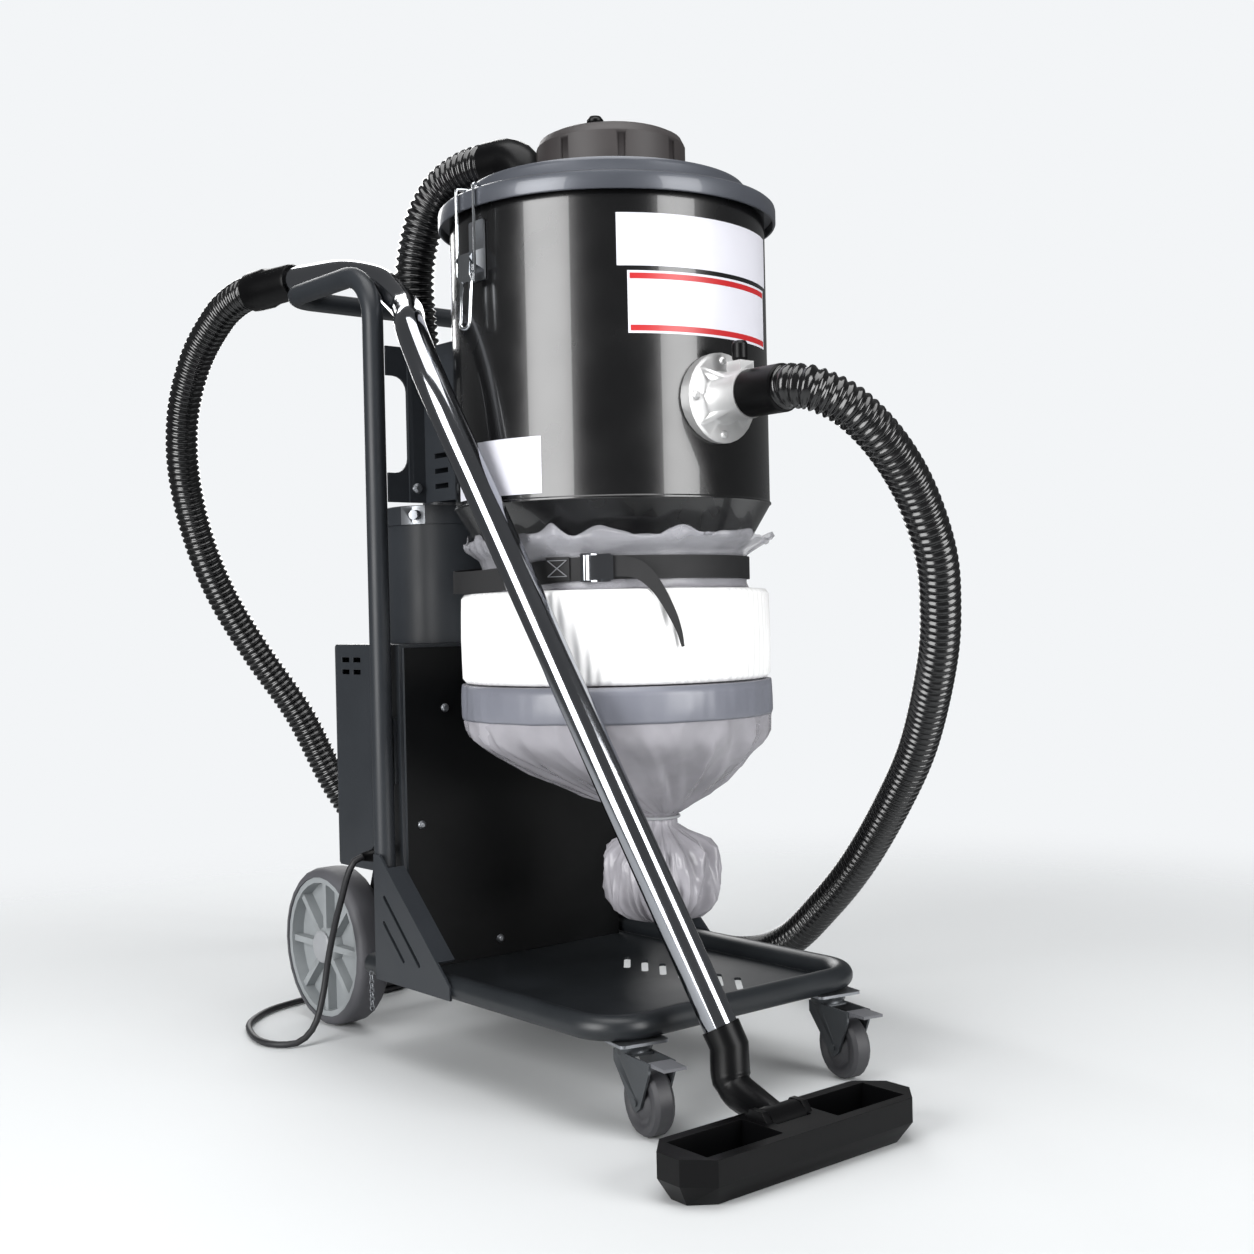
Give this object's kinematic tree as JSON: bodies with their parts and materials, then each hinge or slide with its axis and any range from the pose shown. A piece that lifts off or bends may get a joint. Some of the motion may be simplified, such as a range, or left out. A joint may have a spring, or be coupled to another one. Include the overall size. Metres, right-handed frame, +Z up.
{
  "type": "industrial dust collector",
  "caption": "Wheeled industrial dust collector: drum with latched lid over a hanging bag, motor housing behind, ribbed hose, chromed wand and floor nozzle.",
  "frame": {"origin": "on the floor, under the centre of the machine's own footprint, without the loose hose and lead", "axes": "+Z up, front with the hose inlet towards -Y, wand on the -X side"},
  "size_m": [0.711, 1.259, 1.0879],
  "materials": {
    "gloss_black": "gloss",
    "lid_paint": "satin",
    "slate_powder_coat": "satin",
    "platform_steel": "satin",
    "black_plastic": "satin",
    "brown_plastic": "matte",
    "hose_plastic": "gloss",
    "tyre_rubber": "matte",
    "grey_plastic": "satin",
    "white_plastic": "satin",
    "bag_film": "translucent film",
    "cast_aluminium": "as cast",
    "zinc_plate": "zinc plated",
    "chrome": "polished",
    "filter_media": "matte",
    "webbing": "matte",
    "cord_jacket": "matte"
  },
  "bodies": {
    "cart": {"drum_shell": "gloss_black", "lid": "lid_paint", "handle_frame": "slate_powder_coat", "gusset_left": "slate_powder_coat", "gusset_right": "slate_powder_coat", "post_bracket_left": "slate_powder_coat", "post_bracket_right": "slate_powder_coat", "drum_bracket": "slate_powder_coat", "motor_housing": "slate_powder_coat", "back_cover": "slate_powder_coat", "canister_body": "slate_powder_coat", "canister_lid": "slate_powder_coat", "frame_rail": "platform_steel", "base_plate": "platform_steel", "axle_carrier": "platform_steel", "vacuum_motor": "platform_steel", "lid_elbow": "black_plastic", "inlet_cuff": "black_plastic", "wand_cuff": "black_plastic", "nozzle_elbow": "black_plastic", "cable_gland": "black_plastic", "plug": "black_plastic", "pulse_cap": "brown_plastic", "suction_hose": "hose_plastic", "main_hose": "hose_plastic", "bag_cassette": "white_plastic", "dust_bag": "bag_film", "inlet_flange": "cast_aluminium", "axle": "zinc_plate", "caster_plate_left": "zinc_plate", "caster_plate_right": "zinc_plate", "latch_plate_left": "zinc_plate", "latch_plate_right": "zinc_plate", "wand": "chrome", "buckle_frame": "chrome", "main_filter": "filter_media", "hepa_filter": "filter_media", "strap": "webbing", "power_cord": "cord_jacket", "cord_coil": "cord_jacket"},
    "wheel_left": {"wheel_hub_left": "grey_plastic", "tyre_left": "tyre_rubber"},
    "wheel_right": {"wheel_hub_right": "grey_plastic", "tyre_right": "tyre_rubber"},
    "caster_fork_left": {"caster_fork_left": "zinc_plate"},
    "caster_roller_left": {"caster_wheel_left": "tyre_rubber"},
    "brake_pedal_left": {"caster_pedal_left": "grey_plastic"},
    "latch_lever_left": {"latch_lever_left": "zinc_plate"},
    "latch_bail_left": {"latch_bail_left": "zinc_plate"},
    "caster_fork_right": {"caster_fork_right": "zinc_plate"},
    "caster_roller_right": {"caster_wheel_right": "tyre_rubber"},
    "brake_pedal_right": {"caster_pedal_right": "grey_plastic"},
    "latch_lever_right": {"latch_lever_right": "zinc_plate"},
    "latch_bail_right": {"latch_bail_right": "zinc_plate"},
    "pulse_knob": {"pulse_knob": "black_plastic"},
    "lock_knob": {"lock_knob": "black_plastic"},
    "switch_rocker": {"switch_rocker": "black_plastic"},
    "buckle_lever": {"buckle_lever": "chrome"},
    "nozzle_head": {"nozzle_head": "black_plastic"}
  },
  "joints": [
    {"name": "rear_wheel_left", "type": "hinge", "parent": "cart", "child": "wheel_left", "pos_m": [-0.11965, 0.324, 0.1], "axis": [1, 0, 0], "continuous": true},
    {"name": "caster_swivel_left", "type": "hinge", "parent": "cart", "child": "caster_fork_left", "pos_m": [-0.11215, -0.26, 0.08], "axis": [0, 0, 1], "continuous": true},
    {"name": "caster_roll_left", "type": "hinge", "parent": "caster_fork_left", "child": "caster_roller_left", "pos_m": [-0.11787, -0.28945, 0.035], "axis": [0.9816, -0.1908, 0], "continuous": true},
    {"name": "caster_brake_left", "type": "hinge", "parent": "caster_fork_left", "child": "brake_pedal_left", "pos_m": [-0.12169, -0.30908, 0.074], "axis": [0.9816, -0.1908, 0], "range_deg": [0, 8]},
    {"name": "latch_lever_left", "type": "hinge", "parent": "cart", "child": "latch_lever_left", "pos_m": [-0.16615, -0.073, 0.9], "axis": [0, 1, 0], "range_deg": [0, 150]},
    {"name": "latch_bail_left", "type": "hinge", "parent": "latch_lever_left", "child": "latch_bail_left", "pos_m": [-0.16615, -0.073, 0.885], "axis": [0, 1, 0], "range_deg": [-150, 0]},
    {"name": "rear_wheel_right", "type": "hinge", "parent": "cart", "child": "wheel_right", "pos_m": [0.17935, 0.324, 0.1], "axis": [1, 0, 0], "continuous": true},
    {"name": "caster_swivel_right", "type": "hinge", "parent": "cart", "child": "caster_fork_right", "pos_m": [0.17185, -0.26, 0.08], "axis": [0, 0, 1], "continuous": true},
    {"name": "caster_roll_right", "type": "hinge", "parent": "caster_fork_right", "child": "caster_roller_right", "pos_m": [0.16613, -0.28945, 0.035], "axis": [0.9816, -0.1908, 0], "continuous": true},
    {"name": "caster_brake_right", "type": "hinge", "parent": "caster_fork_right", "child": "brake_pedal_right", "pos_m": [0.16231, -0.30908, 0.074], "axis": [0.9816, -0.1908, 0], "range_deg": [0, 8]},
    {"name": "latch_lever_right", "type": "hinge", "parent": "cart", "child": "latch_lever_right", "pos_m": [0.22585, -0.073, 0.9], "axis": [0, -1, 0], "range_deg": [0, 150]},
    {"name": "latch_bail_right", "type": "hinge", "parent": "latch_lever_right", "child": "latch_bail_right", "pos_m": [0.22585, -0.073, 0.885], "axis": [0, -1, 0], "range_deg": [-150, 0]},
    {"name": "pulse_push", "type": "slide", "parent": "cart", "child": "pulse_knob", "axis": [0, 0, 1], "range_m": [-0.004, 0], "stiffness_N_per_m": 400},
    {"name": "lock_pull", "type": "slide", "parent": "cart", "child": "lock_knob", "axis": [0, 0, 1], "range_m": [0, 0.006], "stiffness_N_per_m": 300},
    {"name": "switch_rock", "type": "hinge", "parent": "cart", "child": "switch_rocker", "pos_m": [0.10985, 0.2863, 0.4], "axis": [1, 0, 0], "range_deg": [-16, 0]},
    {"name": "buckle_open", "type": "hinge", "parent": "cart", "child": "buckle_lever", "pos_m": [-0.0935, -0.17512, 0.566], "axis": [0, 0, -1], "range_deg": [0, 50]},
    {"name": "nozzle_tilt", "type": "hinge", "parent": "cart", "child": "nozzle_head", "pos_m": [-0.07615, -0.428, 0.036], "axis": [1, 0, 0], "range_deg": [-30, 15]}
  ],
  "couplings": [
    {"joint": "latch_bail_left", "follows": "latch_lever_left", "ratio": -1},
    {"joint": "latch_bail_right", "follows": "latch_lever_right", "ratio": -1}
  ]
}
